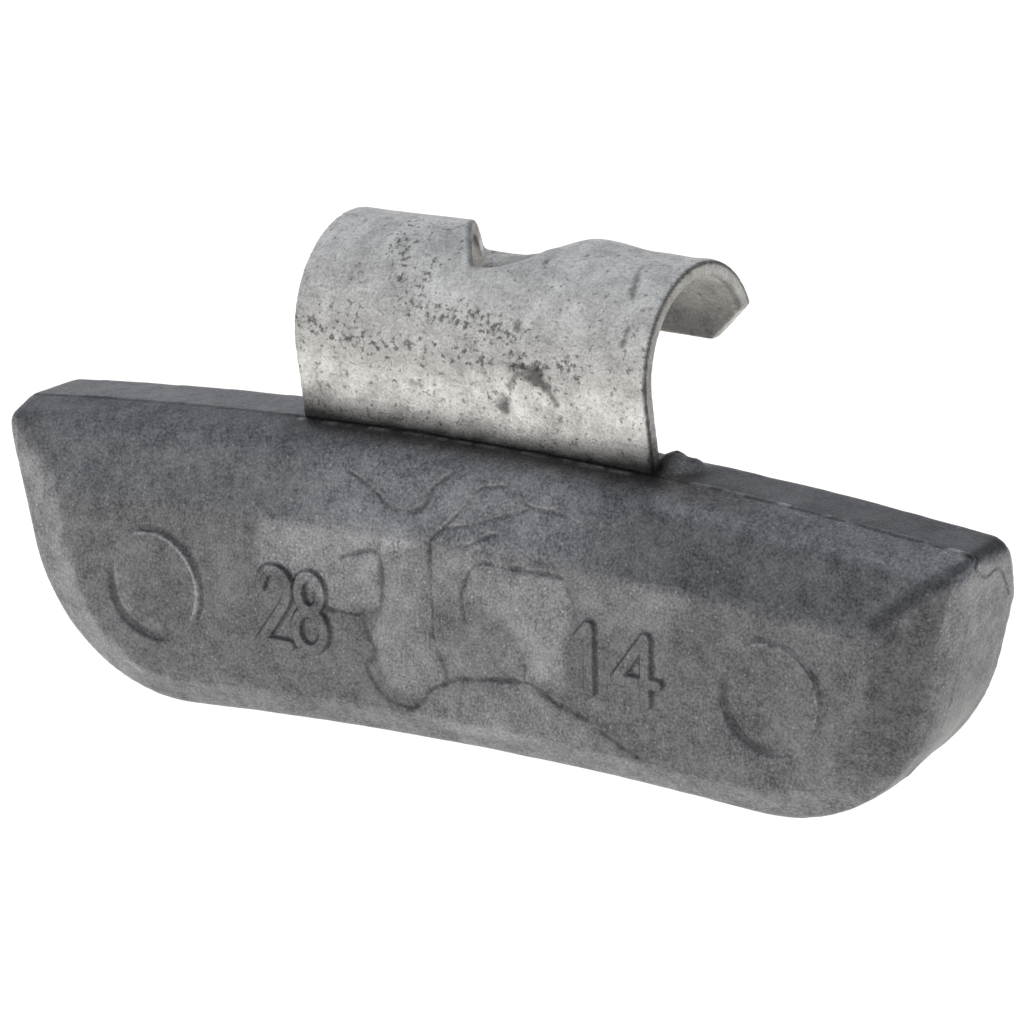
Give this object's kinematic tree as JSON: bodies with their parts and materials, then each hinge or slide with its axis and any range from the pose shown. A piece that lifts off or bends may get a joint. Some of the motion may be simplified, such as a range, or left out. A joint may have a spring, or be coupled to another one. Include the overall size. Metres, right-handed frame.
{
  "type": "wheel balance weight",
  "caption": "Arched die-cast wheel balance weight, cast round a folded spring-steel clip whose lanced hook grips the flange of a steel wheel rim.",
  "frame": {"origin": "middle of the part's box, at the level of the casting's lowest points", "axes": "+X along the rim, +Y towards the wheel, +Z outwards from the wheel's axis, with the hook on top"},
  "size_m": [0.0502, 0.0114, 0.0227],
  "materials": {
    "zinc_casting": "as cast, dull dark grey zinc alloy",
    "spring_steel": "dulled, pitted zinc coat"
  },
  "bodies": {
    "root": {"cast_weight": "zinc_casting", "spring_clip": "spring_steel"}
  },
  "joints": []
}
